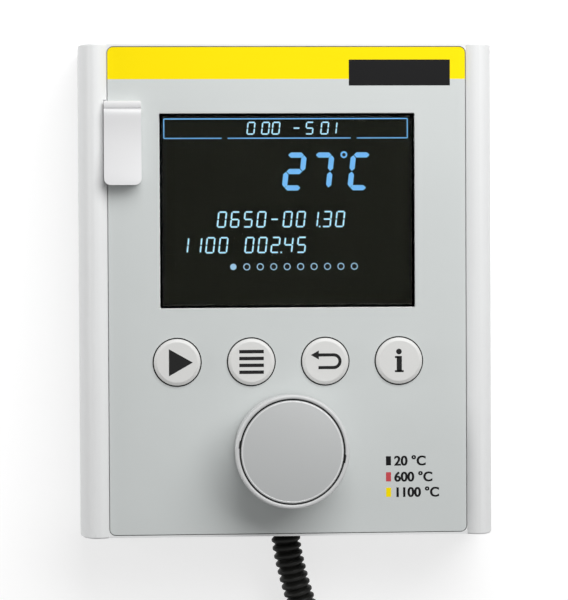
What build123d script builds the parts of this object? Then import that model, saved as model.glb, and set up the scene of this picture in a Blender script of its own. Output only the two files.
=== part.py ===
from build123d import *
import os
from math import pi, radians, tan

# Controller of a muffle furnace: the flat operating unit with a display, four keys and a
# push-and-turn knob, that lifts out of its holder on the furnace and hangs on a corrugated conduit.
# It lies on its back: +X is to the reader's right, +Y up the face, +Z out of the face.
# The origin is the middle of the back. All sizes are in millimetres.

# ---- Housing: two shells that part at parting_z ----
housing_w = 139.5
housing_l = 165.0
wall = 2.4
front_wall = 2.4  # behind the panel
parting_z = 13.0
face_z = 36.0  # the front panel's face
rail_crest_in = 5.25  # from the side of the housing to the rail's crest
rail_rise = 2.2  # crest above the face
rail_side_top = 24.5  # where the flat side runs out into the rail
rail_roof_fall = 0.5  # the hollow inside a rail, from its crest to its step
rail_step_lean = 0.6
end_round = 0.5
back_round = 4.0
tongue_h = 1.6
tongue_clearance = 0.1
rail_w = 9.75  # each, beside the panel
end_rim = 1.0  # at each end of the panel
side_x = housing_w / 2
end_y = housing_l / 2
crest_x = side_x - rail_crest_in
crest_z = face_z + rail_rise

# ---- Front panel ----
panel_t = 1.5
panel_corner = 2.0
panel_gap = 0.3
header_l = 10.7
header_t = 0.25
panel_w = housing_w - 2 * rail_w
panel_l = housing_l - 2 * end_rim
pocket_x = panel_w / 2 + panel_gap
pocket_z = face_z - panel_t
ceiling_z = pocket_z - front_wall  # the inside of the front wall

# ---- Display ----
window_margin = 17.05  # panel's edge to the window, at each side
window_l = 65.4
window_y = 26.8
window_corner = 0.4
lens_gap = 0.15
lens_recess = 0.3
ledge = 0.85  # the shell reaches this far under the lens
lcd_gap = 0.4
lcd_t = 2.0
lcd_under_lens = 0.3
backlight_t = 3.0
tray_wall = 1.3
tray_base = 1.2
tray_play = 0.1
tray_corner = 1.0
tray_top_gap = 0.2
tray_foot_r = 3.0
window_w = panel_w - 2 * window_margin
lcd_w = window_w - 2 * ledge - 2 * lcd_gap
lcd_l = window_l - 2 * ledge - 2 * lcd_gap
lcd_top = pocket_z - lcd_under_lens
backlight_top = lcd_top - lcd_t
tray_top = ceiling_z - tray_top_gap
tray_floor = backlight_top - backlight_t

# ---- Control board, hung under the front wall on standoffs ----
board_side_gap = 4.0  # board's edge to the line of the panel's edge
board_end_gap = 7.5
board_t = 1.6
board_top = 27.0
board_corner = 2.0
standoff_in = 6.0  # in from the board's side
standoff_in_end = 5.0
standoff_r = 3.0
board_screw_r = 1.25
board_screw_depth = 4.0
board_screw_tip_gap = 0.5
board_screw_head_r = 2.4
board_screw_head_h = 1.6
board_hole_gap = 0.2
board_w = panel_w - 2 * board_side_gap
board_l = panel_l - 2 * board_end_gap
board_bottom = board_top - board_t
standoff_x = board_w / 2 - standoff_in
standoff_y = board_l / 2 - standoff_in_end

# ---- Packages and the clock's cell, under the board: width, length, height, x, y ----
chips = (
    (14.0, 14.0, 1.4, -12.0, 8.0),
    (8.0, 5.0, 1.6, 10.0, 12.0),
    (6.0, 5.0, 1.6, 10.0, 2.0),
    (10.0, 7.5, 2.2, 32.0, -8.0),
    (5.0, 4.0, 1.5, -34.0, -6.0),
)
cell_x = 30.0
cell_y = 32.0
cell_r = 12.0
cell_t = 3.0
cell_play = 0.2
cell_edge = 0.5
holder_wall = 1.5

# ---- Housing screws, from the back ----
boss_in = 7.45  # from the side of the housing
boss_in_end = 7.5
boss_r = 3.6
rear_boss_r = 4.8
housing_screw_r = 1.4
screw_clearance_r = 1.7
counterbore_r = 3.2
counterbore_depth = 8.0
screw_head_r = 2.9
screw_head_h = 2.2
screw_bite = 12.0  # thread length in the front shell
boss_x = side_x - boss_in
boss_y = end_y - boss_in_end

# ---- Threaded inserts in the back, for a holder ----
insert_pitch = 75.0
insert_r = 2.8
insert_bore_r = 1.65
insert_l = 8.0
insert_boss_r = 4.8
insert_hole_spare = 0.6

# ---- Keys ----
key_pitch = 24.86
key_y = -23.8
key_hole_r = 8.25
key_gap = 0.45
key_rise = 1.3  # above the panel
key_bevel = 1.05
key_flange = 1.2
key_flange_t = 1.5
key_flange_gap = 0.2
key_travel = 0.6
key_names = ("start", "menu", "back", "info")
switch_w = 6.2
switch_h = 2.2
plunger_r = 1.6
plunger_gap = 0.1
plunger_play = 0.2  # under the plunger at full travel
switch_base = 0.4
key_r = key_hole_r - key_gap
flange_bottom = ceiling_z - key_flange_gap - key_flange_t
switch_top = board_top + switch_h

# ---- Push-and-turn encoder ----
knob_y = -52.95
encoder_w = 13.0
encoder_wall = 0.8
encoder_corner = 0.6
encoder_base = 0.7
bushing_r = 4.5
bushing_gap = 0.2
bushing_top = 40.5
shaft_r = 3.0
shaft_clearance = 0.05
shaft_flat = 1.5  # from the axis to the flat
push_travel = 0.8
push_plunger_gap = 0.1
push_plunger_t = 1.0
rotor_r = 4.7
rotor_t = 1.2
rotor_gap = 0.15
rotor_end_gap = 0.1
push_stop_gap = 0.1
washer_r = 6.5
washer_t = 0.5
nut_af = 11.0
nut_t = 2.2
nut_hole_r = 8.0  # in the panel
push_plunger_bottom = board_top + encoder_base + push_travel + push_stop_gap
push_plunger_top = push_plunger_bottom + push_plunger_t
rotor_bottom = push_plunger_top + rotor_end_gap
encoder_cavity_top = ceiling_z - encoder_wall

# ---- Knob ----
knob_r = 19.15
knob_foot_r = 18.2
knob_lift = 1.3  # its skirt above the face
knob_h = 17.2  # ring above the face
knob_wall = 1.6
knob_plate_t = 2.0
knob_recess = 1.7
knob_edge_round = 0.8
knob_lip_round = 0.5  # round the recess
cap_gap = 0.5
cap_edge_h = 1.5
cap_dome = 1.2
knob_hub_r = 5.4
knob_rib_t = 1.2
knob_rib_h = 4.0
knob_rib_bite = 0.5  # into the hub and the skirt
knob_rib_count = 6
pry_slot_l = 2.8
pry_slot_w = 1.1
pry_slot_angle = -8.3
hook_w = 3.0
hook_t = 1.0
hook_h = 2.6
hook_gap = 0.1
cap_edge_round = 0.3
knob_top = face_z + knob_h
recess_floor = knob_top - knob_recess
recess_r = knob_r - knob_wall
hook_x = recess_r - 3.9
plate_bottom = recess_floor - knob_plate_t
hub_bottom = bushing_top + push_travel + 0.7
shaft_top = plate_bottom + 0.5

# ---- USB port behind a hinged cover ----
port_in = 5.0  # from the panel's left edge
usb_y = 47.0
port_w = 8.0
port_l = 17.0
port_corner = 0.8
port_depth = 4.4  # face to socket mouth
chimney_wall = 1.4
chimney_overlap = 1.4  # below the socket's mouth
socket_w = 5.8
socket_l = 13.2
socket_h = 14.0
socket_t = 0.4
socket_base = 5.0
socket_corner = 0.5
socket_play = 0.05
tongue_in = 0.6
tongue_w = 1.8
tongue_l = 11.1
tongue_setback = 1.0
seal_gap = 0.1
usb_board_w = 12.0
usb_board_l = 31.0
usb_post_r = 2.4
usb_post_pitch = 26.0
usb_notch_gap = 1.0
usb_x = port_in - panel_w / 2
mouth_z = face_z - port_depth
usb_board_top = mouth_z - socket_h

# ---- Hinged port cover ----
cover_w = 12.2
cover_l = 28.0  # base strip and flap together
cover_top_y = 63.5
hinge_base_l = 2.5
hinge_base_h = 3.2
hinge_above = 2.95  # its axis above the face
knuckle_r = 1.0
knuckle_gap = 0.15
knuckle_w = 2.4  # each of the two on the base strip
pin_r = 0.45
pin_clearance = 0.05
cover_foot_gap = 0.3  # under the closed flap
cover_near_h = 3.7  # flap above the face at the hinge
cover_far_h = 5.9  # and at its free end
cover_corner = 2.2
cover_edge = 0.6
cover_nest = 0.4  # clearance where the rail is cut away for it
cover_x = usb_x
base_y = cover_top_y - hinge_base_l
hinge_y = base_y - knuckle_gap - knuckle_r
hinge_z = face_z + hinge_above

# ---- Conduit and what is on it ----
conduit_r = 5.0
conduit_hole_gap = 0.6
conduit_start_in = 11.5  # from the end of the housing
collar_r = 7.6
collar_l = 3.0
collar_in = 6.5
rib_t = 1.6
rib_gap = 0.2
rib_h = 7.0
lead_r = 2.5
board_socket_w = 20.0
board_socket_l = 10.0
board_socket_h = 8.0
board_socket_y = -28.0
lead_plug_l = 8.0
lead_plug_w = 18.0
lead_plug_in = 0.4  # lower than its socket all round
coil_r = 52.0  # middle of the turns
coil_x = -29.0
coil_out = 89.5  # its middle, out from the end of the housing
coil_layers = 2  # all round
coil_pitch = 10.3
coil_top_from = -90.0  # the last part turn lies on top, between these angles
coil_top_to = 60.0
coil_corner = 2.0
backshell_l = 20.0
backshell_r = 6.2
backshell_end_r = 7.1
backshell_taper_from = 11.0
sleeve_r = 7.5
sleeve_l = 22.0
sleeve_wall = 1.2
grip_count = 4
grip_first = 3.0
grip_pitch = 2.2
grip_w = 0.8
grip_depth = 0.35
insert_face_set = 0.6
pin_hole_r = 0.55
pin_hole_depth = 6.0
pin_circle_r = 3.6
pin_count = 6
conduit_start_y = conduit_start_in - end_y
collar_y = collar_in - end_y
coil_y = -end_y - coil_out


# ---- Shapes that several pieces use ----
def slab(w, l, z0, z1, x=0.0, y=0.0, corner=0.0):
    """A plate with its edges along X and Y, and its upright corners rounded."""
    outline = RectangleRounded(w, l, corner) if corner else Rectangle(w, l)
    return Pos(x, y, z0) * extrude(outline, z1 - z0)


def rod(r, z0, z1, x=0.0, y=0.0):
    """An upright cylinder."""
    return Pos(x, y, z0) * extrude(Circle(r), z1 - z0)


def flatted_rod(r, flat, z0, z1, x=0.0, y=0.0):
    """An upright D-shaft or, as a cutter, a D-bore."""
    blank = rod(r, z0, z1, x, y)
    return blank - slab(2 * r, 2 * r, z0 - 1, z1 + 1, x + flat + r, y)


def along_y(outline, length):
    """An outline drawn in X and Z, run half each way along Y."""
    return extrude(Plane.XZ * outline, length / 2, both=True)


def along_x(outline, length):
    """An outline drawn in Y and Z, run half each way along X."""
    return extrude(Plane.YZ * outline, length / 2, both=True)


def symmetric_face(half, bottom_z, top_left_x, top_z):
    """A face from the right half of an outline, its mirror image, a foot line and a top line."""
    other = [mirror(edge, about=Plane.YZ) for edge in half]
    foot_x = (half[0] @ 0).X
    foot = Line((-foot_x, bottom_z), (foot_x, bottom_z))
    top = Line((top_left_x, top_z), (-top_left_x, top_z))
    return make_face([*half, *other, foot, top])


def four(x, y):
    """The four corners of a rectangle about the origin."""
    return [(i * x, j * y) for i in (-1, 1) for j in (-1, 1)]


def pan_screw(x, y, head_z, head_r, head_h, shank_r, shank_l):
    """A pan-head screw that points up, with a hexagon socket in its head."""
    head = rod(head_r, head_z - head_h, head_z, x, y)
    under = head.edges().sort_by(Axis.Z)[0]
    head = fillet(under, head_h * 0.35)
    shank = rod(shank_r, head_z, head_z + shank_l, x, y)
    socket = Pos(x, y, head_z - head_h) * extrude(RegularPolygon(head_r * 0.5, 6), head_h * 0.55)
    return head + shank - socket


# ---- Housing shells ----
def rail_half(inset):
    """Right half of the shell's section: side, rail and the rail's inner slope."""
    foot = Line((side_x - inset, parting_z - inset), (side_x - inset, rail_side_top))
    rise = crest_z - inset - rail_side_top
    centre = (crest_x, rail_side_top)
    outer = EllipticalCenterArc(centre, rail_crest_in - inset, rise, start_angle=0, arc_size=90)
    return foot, outer


def shell_outline():
    foot, outer = rail_half(0)
    slope = TangentArc((crest_x, crest_z), (pocket_x, face_z), tangent=(-1, 0))
    return symmetric_face([foot, outer, slope], parting_z, pocket_x, face_z)


def cavity_outline():
    foot, outer = rail_half(wall)
    step_x = pocket_x + wall
    step_z = crest_z - wall - rail_roof_fall
    ceiling_x = step_x - rail_step_lean
    roof = Line((crest_x, crest_z - wall), (step_x, step_z))
    step = Line((step_x, step_z), (ceiling_x, ceiling_z))
    return symmetric_face([foot, outer, roof, step], parting_z - wall, ceiling_x, ceiling_z)


def key_xs():
    return [(i - (len(key_names) - 1) / 2) * key_pitch for i in range(len(key_names))]


def panel_openings(z0, z1, display_w, display_l, nut_r):
    """Cutters for the display, the keys, the encoder and the port."""
    cuts = [
        slab(display_w, display_l, z0, z1, 0, window_y, window_corner),
        rod(nut_r, z0, z1, 0, knob_y),
        slab(port_w, port_l, z0, z1, usb_x, usb_y, port_corner),
    ]
    cuts += [rod(key_hole_r, z0, z1, x, key_y) for x in key_xs()]
    return cuts


def tongue_ring(inner_play, outer_play, z0, z1):
    """The band along the parting where the shells overlap."""
    outer_w = housing_w - wall + 2 * outer_play
    outer_l = housing_l - wall + 2 * outer_play
    inner_w = housing_w - 2 * wall - 2 * inner_play
    inner_l = housing_l - 2 * wall - 2 * inner_play
    return slab(outer_w, outer_l, z0, z1) - slab(inner_w, inner_l, z0 - 1, z1 + 1)


def conduit_passage(r):
    """A cutter along the conduit's axis where it goes through the end of the housing."""
    length = end_y + conduit_start_y + 2
    return Pos(0, -end_y - 1 + length / 2, parting_z) * Rot(90, 0, 0) * Cylinder(r, length)


def clamp_ribs(z0, z1):
    """Two ribs across the conduit, either side of its collar."""
    ribs = []
    for side in (-1, 1):
        y = collar_y + side * (collar_l / 2 + rib_gap + rib_t / 2)
        ribs.append(slab(2 * collar_r + 4, rib_t, z0, z1, 0, y))
    passage = Pos(0, collar_y, parting_z) * Rot(90, 0, 0) * Cylinder(conduit_r + rib_gap, 4 * collar_l)
    return [rib - passage for rib in ribs]


def front_shell():
    shell = along_y(shell_outline(), housing_l)
    ends = shell.faces().filter_by(Axis.Y).edges()
    shell = fillet(ends.filter_by(lambda e: abs(e.center().X) > pocket_x), end_round)
    shell -= slab(panel_w + 2 * panel_gap, panel_l + 2 * panel_gap, pocket_z, crest_z + 1,
                  corner=panel_corner + panel_gap)
    shell -= along_y(cavity_outline(), housing_l - 2 * wall)
    tongue_top = parting_z + tongue_h + tongue_clearance
    shell -= tongue_ring(tongue_clearance, tongue_clearance, parting_z - 1, tongue_top)
    chimney_foot = mouth_z - chimney_overlap
    shell += slab(port_w + 2 * chimney_wall, port_l + 2 * chimney_wall, chimney_foot, ceiling_z, usb_x, usb_y,
                  port_corner + chimney_wall)
    shell += [rod(boss_r, parting_z, ceiling_z + 2, x, y) for x, y in four(boss_x, boss_y)]
    shell += [rod(standoff_r, board_top, ceiling_z, x, y) for x, y in four(standoff_x, standoff_y)]
    shell += [rod(usb_post_r, usb_board_top, ceiling_z, usb_x, y) for y in usb_post_ys()]
    shell += clamp_ribs(parting_z + tongue_h, parting_z + rib_h + tongue_h)
    shell += rib_roots()
    for cut in panel_openings(chimney_foot - 1, face_z, window_w - 2 * ledge, window_l - 2 * ledge,
                              bushing_r + bushing_gap):
        shell -= cut
    screw_top = parting_z + screw_bite + 1
    shell -= [rod(housing_screw_r, parting_z - 1, screw_top, x, y) for x, y in four(boss_x, boss_y)]
    shell -= [rod(board_screw_r, board_top - 1, board_top + board_screw_depth, x, y)
              for x, y in four(standoff_x, standoff_y)]
    shell -= [rod(board_screw_r, usb_board_top - 1, usb_board_top + board_screw_depth, usb_x, y)
              for y in usb_post_ys()]
    nest_l = cover_l + 2 * cover_nest
    shell -= slab(cover_w + 2 * cover_nest, nest_l, face_z, crest_z + 1, cover_x,
                  cover_top_y + cover_nest - nest_l / 2)
    shell -= conduit_passage(conduit_r + conduit_hole_gap)
    return shell


def rib_roots():
    """Webs that join the upper clamp ribs to the end wall."""
    y0 = -end_y + wall / 2
    y1 = collar_y + collar_l / 2 + rib_gap + rib_t
    x = collar_r + 2 - rib_t / 2
    z0 = parting_z + tongue_h
    webs = [slab(rib_t, y1 - y0, z0, z0 + rib_h, side * x, (y0 + y1) / 2) for side in (-1, 1)]
    return webs


def usb_post_ys():
    return (usb_y - usb_post_pitch / 2, usb_y + usb_post_pitch / 2)


def tub(inset, top_z):
    """The rear cover's outside, or its inside when inset by the wall: two rounded sections crossed."""
    w = housing_w - 2 * inset
    l = housing_l - 2 * inset
    r = back_round - inset / 2
    h = top_z - inset
    blank_x = Pos(0, inset + h / 2) * Rectangle(w, h)
    blank_y = Pos(0, inset + h / 2) * Rectangle(l, h)
    section_x = fillet(blank_x.vertices().group_by(Axis.Y)[0], r)
    section_y = fillet(blank_y.vertices().group_by(Axis.Y)[0], r)
    return along_y(section_x, l) & along_x(section_y, w)


def rear_cover():
    cover = tub(0, parting_z)
    upright = cover.edges().filter_by(Axis.Z)
    cover = fillet(upright, end_round)
    cover -= tub(wall, parting_z + 1)
    cover += tongue_ring(0, -tongue_clearance, parting_z - 1, parting_z + tongue_h)
    cover += [rod(rear_boss_r, wall, parting_z, x, y) for x, y in four(boss_x, boss_y)]
    cover += [rod(insert_boss_r, wall, insert_l + insert_hole_spare + wall / 2, x, y)
              for x, y in four(insert_pitch / 2, insert_pitch / 2)]
    cover += clamp_ribs(wall / 2, parting_z)
    cover -= [rod(insert_r, -1, insert_l + insert_hole_spare, x, y)
              for x, y in four(insert_pitch / 2, insert_pitch / 2)]
    cover -= [rod(counterbore_r, -1, counterbore_depth, x, y) for x, y in four(boss_x, boss_y)]
    cover -= [rod(screw_clearance_r, 0, parting_z + 1, x, y) for x, y in four(boss_x, boss_y)]
    cover -= conduit_passage(conduit_r + conduit_hole_gap)
    return cover


def housing_screws():
    length = parting_z - counterbore_depth + screw_bite
    return [pan_screw(x, y, counterbore_depth, screw_head_r, screw_head_h, housing_screw_r, length)
            for x, y in four(boss_x, boss_y)]


def mount_inserts():
    inserts = []
    for x, y in four(insert_pitch / 2, insert_pitch / 2):
        inserts.append(rod(insert_r, 0, insert_l, x, y) - rod(insert_bore_r, -1, insert_l + 1, x, y))
    return inserts


# ---- Panel and display ----
def front_panel():
    panel = slab(panel_w, panel_l, pocket_z, face_z, corner=panel_corner)
    panel -= slab(panel_w + 2, header_l, face_z - header_t, face_z + 1, 0, panel_l / 2 - header_l / 2)
    for cut in panel_openings(pocket_z - 1, face_z + 1, window_w, window_l, nut_hole_r):
        panel -= cut
    return panel


def header_band():
    """Coloured band printed along the top of the panel."""
    film = slab(panel_w, panel_l, face_z - header_t, face_z, corner=panel_corner)
    return film & slab(panel_w, header_l, face_z - header_t, face_z, 0, panel_l / 2 - header_l / 2)


def display_lens():
    w = window_w - 2 * lens_gap
    l = window_l - 2 * lens_gap
    return slab(w, l, pocket_z, face_z - lens_recess, 0, window_y, window_corner)


def lcd_glass():
    return slab(lcd_w, lcd_l, backlight_top, lcd_top, 0, window_y)


def lcd_backlight():
    return slab(lcd_w, lcd_l, tray_floor, backlight_top, 0, window_y)


def lcd_tray():
    """Frame that carries the backlight and the glass on the board."""
    inner_w = lcd_w + 2 * tray_play
    inner_l = lcd_l + 2 * tray_play
    outer_w = inner_w + 2 * tray_wall
    outer_l = inner_l + 2 * tray_wall
    tray = slab(outer_w, outer_l, tray_floor - tray_base, tray_top, 0, window_y, tray_corner)
    tray -= slab(inner_w, inner_l, tray_floor, tray_top + 1, 0, window_y)
    feet = [Pos(0, window_y) * rod(tray_foot_r, board_top, tray_floor - tray_base, x, y)
            for x, y in four(outer_w / 2 - tray_foot_r, outer_l / 2 - tray_foot_r)]
    return tray + feet


# ---- Board and what is soldered to it ----
def control_board():
    board = slab(board_w, board_l, board_bottom, board_top, corner=board_corner)
    notch_w = 2 * (usb_x + usb_board_w / 2 + usb_notch_gap + board_w / 2)
    notch_l = usb_board_l + 2 * usb_notch_gap
    board -= slab(notch_w, notch_l, board_bottom - 1, board_top + 1, -board_w / 2, usb_y, board_corner / 2)
    board -= [rod(board_screw_r + board_hole_gap, board_bottom - 1, board_top + 1, x, y)
              for x, y in four(standoff_x, standoff_y)]
    return board


def board_screw(x, y, head_z):
    """Holds a board of either kind up against a post."""
    shank_l = board_t + board_screw_depth - board_screw_tip_gap
    return pan_screw(x, y, head_z, board_screw_head_r, board_screw_head_h, board_screw_r, shank_l)


def board_screws():
    return [board_screw(x, y, board_bottom) for x, y in four(standoff_x, standoff_y)]


def board_chips():
    """Processor, memory and driver packages under the board."""
    return [slab(w, l, board_bottom - h, board_bottom, x, y) for w, l, h, x, y in chips]


def cell_holder():
    """Open-sided cup for the clock's coin cell, under the board."""
    depth = cell_t + holder_wall
    holder = rod(cell_r + cell_play + holder_wall, board_bottom - depth, board_bottom, cell_x, cell_y)
    well_top = board_bottom - holder_wall
    holder -= rod(cell_r + cell_play, board_bottom - depth - 1, well_top, cell_x, cell_y)
    return holder - slab(2 * cell_r, cell_r, board_bottom - depth - 1, well_top, cell_x, cell_y - cell_r)


def coin_cell():
    top = board_bottom - holder_wall
    cell = rod(cell_r, top - cell_t, top, cell_x, cell_y)
    return chamfer(cell.edges().sort_by(Axis.Z)[0], cell_edge)


def tact_switches():
    switches = []
    for x in key_xs():
        body = slab(switch_w, switch_w, board_top, switch_top, x, key_y)
        well = rod(plunger_r + plunger_gap, board_top + switch_base, switch_top + 1, x, key_y)
        switches.append(body - well)
    return switches


# ---- Keys ----
def key_cap(x):
    """A round key: bevelled cap, neck through the panel, and the flange that holds it in."""
    top = face_z + key_rise
    flange_r = key_r + key_flange
    flange_top = flange_bottom + key_flange_t
    flange = ((0, flange_bottom), (flange_r, flange_bottom), (flange_r, flange_top), (key_r, flange_top))
    cap = ((key_r, top - key_bevel / 2), (key_r - key_bevel, top), (0, top))
    outline = Polyline(*flange, *cap, (0, flange_bottom))
    section = make_face(outline)
    shoulder = section.vertices().filter_by(lambda v: v.X > 1 and v.Y > face_z)
    section = fillet(shoulder, key_bevel / 3)
    return Pos(x, key_y, 0) * revolve(Plane.XZ * section, Axis.Z)


def key_plunger(x):
    """The switch's actuator, which the key pushes."""
    bottom = board_top + switch_base + key_travel + plunger_play
    return rod(plunger_r, bottom, flange_bottom, x, key_y)


# ---- Encoder and knob ----
def encoder_body():
    body = slab(encoder_w, encoder_w, board_top, ceiling_z, 0, knob_y, encoder_corner)
    body += rod(bushing_r, ceiling_z, bushing_top, 0, knob_y)
    body -= rod(shaft_r + push_plunger_gap, board_top + encoder_base, encoder_cavity_top, 0, knob_y)
    body -= rod(rotor_r + rotor_gap, rotor_bottom - rotor_end_gap, encoder_cavity_top, 0, knob_y)
    body -= rod(shaft_r + shaft_clearance, encoder_cavity_top - 1, bushing_top + 1, 0, knob_y)
    return body


def encoder_washer():
    washer = rod(washer_r, pocket_z, pocket_z + washer_t, 0, knob_y)
    return washer - rod(bushing_r, pocket_z - 1, pocket_z + washer_t + 1, 0, knob_y)


def encoder_nut():
    z0 = pocket_z + washer_t
    hexagon = Pos(0, knob_y, z0) * extrude(RegularPolygon(nut_af / 2, 6, major_radius=False), nut_t)
    return hexagon - rod(bushing_r, z0 - 1, z0 + nut_t + 1, 0, knob_y)


def encoder_plunger():
    """Pushes the switch under the shaft, and slides without turning."""
    return rod(shaft_r, push_plunger_bottom, push_plunger_top, 0, knob_y)


def encoder_rotor():
    """Contact disc that the shaft turns and slides through."""
    disc = rod(rotor_r, rotor_bottom, rotor_bottom + rotor_t, 0, knob_y)
    bore = flatted_rod(shaft_r + shaft_clearance, shaft_flat + shaft_clearance, rotor_bottom - 1,
                       rotor_bottom + rotor_t + 1, 0, knob_y)
    return disc - bore


def encoder_shaft():
    neck = rotor_bottom + rotor_t + push_travel + rotor_end_gap
    lower = flatted_rod(shaft_r, shaft_flat, push_plunger_top, neck, 0, knob_y)
    middle = rod(shaft_r, neck, hub_bottom, 0, knob_y)
    upper = flatted_rod(shaft_r, shaft_flat, hub_bottom, shaft_top, 0, knob_y)
    return lower + middle + upper


def knob_body():
    """Turned-looking knob: a waisted skirt, a ring round the cap, and a hub on the shaft."""
    foot_z = face_z + knob_lift
    skirt = Spline((knob_foot_r, foot_z), (knob_r, knob_top), tangents=[(-0.15, 1), (0.2, 1)])
    inner = Polyline((knob_r, knob_top), (recess_r, knob_top), (recess_r, recess_floor), (0, recess_floor),
                     (0, plate_bottom), (knob_foot_r - 2 * knob_wall, plate_bottom),
                     (knob_foot_r - knob_wall, foot_z), (knob_foot_r, foot_z))
    bore_r = shaft_r + shaft_clearance
    bore_flat = shaft_flat + shaft_clearance
    hook_hole_t = hook_t + 2 * hook_gap
    hook_hole_w = hook_w + 2 * hook_gap
    section = make_face([skirt, inner])
    rim = section.vertices().group_by(Axis.Y)[-1]
    section = fillet(rim.sort_by(Axis.X)[-1], knob_edge_round)
    lip = section.vertices().group_by(Axis.Y)[-1].sort_by(Axis.X)[0]
    section = fillet(lip, knob_lip_round)
    knob = revolve(Plane.XZ * section, Axis.Z)
    knob += rod(knob_hub_r, hub_bottom, plate_bottom)
    rib_start = knob_hub_r - knob_rib_bite
    rib_l = knob_foot_r - 2 * knob_wall + knob_rib_bite - rib_start
    for i in range(knob_rib_count):
        rib = slab(rib_l, knob_rib_t, plate_bottom - knob_rib_h, plate_bottom, rib_start + rib_l / 2)
        knob += Rot(0, 0, i * 360 / knob_rib_count) * rib
    knob -= flatted_rod(bore_r, bore_flat, hub_bottom - 1, shaft_top + hook_gap)
    knob -= pry_slots(plate_bottom - 1)
    for turn in (pry_slot_angle + 90, pry_slot_angle - 90):
        hole = slab(hook_hole_t, hook_hole_w, plate_bottom - 1, recess_floor + 1, hook_x)
        knob -= Rot(0, 0, turn) * hole
    return Pos(0, knob_y, 0) * knob


def pry_slots(z0):
    """Cutters for the two slots at the cap's edge, through the cap and the plate under it."""
    slot = slab(pry_slot_w, pry_slot_l, z0, knob_top, recess_r - cap_gap / 2)
    return [Rot(0, 0, turn) * slot for turn in (pry_slot_angle, pry_slot_angle + 180)]


def knob_cap():
    """Domed disc that snaps into the top of the knob."""
    r = recess_r - cap_gap
    crown = recess_floor + cap_edge_h + cap_dome
    dome_r = (r * r + cap_dome * cap_dome) / (2 * cap_dome)
    cap = rod(r, recess_floor, crown) & Pos(0, 0, crown - dome_r) * Sphere(dome_r)
    rims = cap.edges().sort_by(SortBy.LENGTH)[-2:]
    cap = fillet(rims.sort_by(Axis.Z)[-1], cap_edge_round) - pry_slots(recess_floor - 1)
    for turn in (pry_slot_angle + 90, pry_slot_angle - 90):
        leg = slab(hook_t, hook_w, recess_floor - hook_h, recess_floor, hook_x)
        barb_x = hook_x + hook_t * 0.7
        barb = slab(hook_t / 2, hook_w, recess_floor - hook_h, plate_bottom - hook_gap, barb_x)
        cap += Rot(0, 0, turn) * (leg + barb)
    return Pos(0, knob_y, 0) * cap


# ---- USB port ----
def usb_socket_shell():
    inner_w = socket_w - 2 * socket_t
    inner_l = socket_l - 2 * socket_t
    shell = slab(socket_w, socket_l, usb_board_top, mouth_z, usb_x, usb_y, socket_corner)
    return shell - slab(inner_w, inner_l, usb_board_top + socket_t, mouth_z + 1, usb_x, usb_y)


def usb_socket_insert():
    """Plastic base and contact tongue."""
    z0 = usb_board_top + socket_t
    inner_w = socket_w - 2 * socket_t
    inner_l = socket_l - 2 * socket_t
    base = slab(inner_w - 2 * socket_play, inner_l - 2 * socket_play, z0, z0 + socket_base, usb_x, usb_y)
    tongue_x = usb_x - inner_w / 2 + tongue_in + tongue_w / 2
    return base + slab(tongue_w, tongue_l, z0 + socket_base, mouth_z - tongue_setback, tongue_x, usb_y)


def usb_seal():
    """Foam gasket that fills the gap between the socket and the shell."""
    z0 = mouth_z - chimney_overlap
    ring = slab(port_w - 2 * seal_gap, port_l - 2 * seal_gap, z0, mouth_z, usb_x, usb_y, port_corner)
    hole_w = socket_w + 2 * seal_gap
    hole_l = socket_l + 2 * seal_gap
    return ring - slab(hole_w, hole_l, z0 - 1, mouth_z + 1, usb_x, usb_y, socket_corner)


def usb_board():
    z0 = usb_board_top - board_t
    hole_r = board_screw_r + board_hole_gap
    board = slab(usb_board_w, usb_board_l, z0, usb_board_top, usb_x, usb_y, board_corner / 2)
    return board - [rod(hole_r, z0 - 1, usb_board_top + 1, usb_x, y) for y in usb_post_ys()]


def usb_board_screws():
    return [board_screw(usb_x, y, usb_board_top - board_t) for y in usb_post_ys()]


# ---- Port cover: a strip on the panel carries the pin, and the flap swings on it ----
def hinge_rod(r, length, x=cover_x):
    return Pos(x, hinge_y, hinge_z) * Rot(0, 90, 0) * Cylinder(r, length)


def usb_cover_base():
    """Strip with a knuckle at each end."""
    top_z = face_z + hinge_base_h
    strip = slab(cover_w, hinge_base_l, face_z, top_z, cover_x, cover_top_y - hinge_base_l / 2)
    strip = fillet(strip.edges().filter_by(Axis.Z).group_by(Axis.Y)[-1], cover_edge)
    strip = fillet(strip.faces().sort_by(Axis.Z)[-1].edges().group_by(Axis.Y)[-1], cover_edge)
    web_l = base_y - hinge_y
    for side in (-1, 1):
        x = cover_x + side * (cover_w - knuckle_w) / 2
        web = slab(knuckle_w, web_l, hinge_z - knuckle_r / 2, top_z, x, hinge_y + web_l / 2)
        strip += hinge_rod(knuckle_r, knuckle_w, x) + web
    return strip - hinge_rod(pin_r, cover_w + 2)


def usb_hinge_pin():
    return hinge_rod(pin_r, cover_w - 2 * knuckle_gap)


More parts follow.
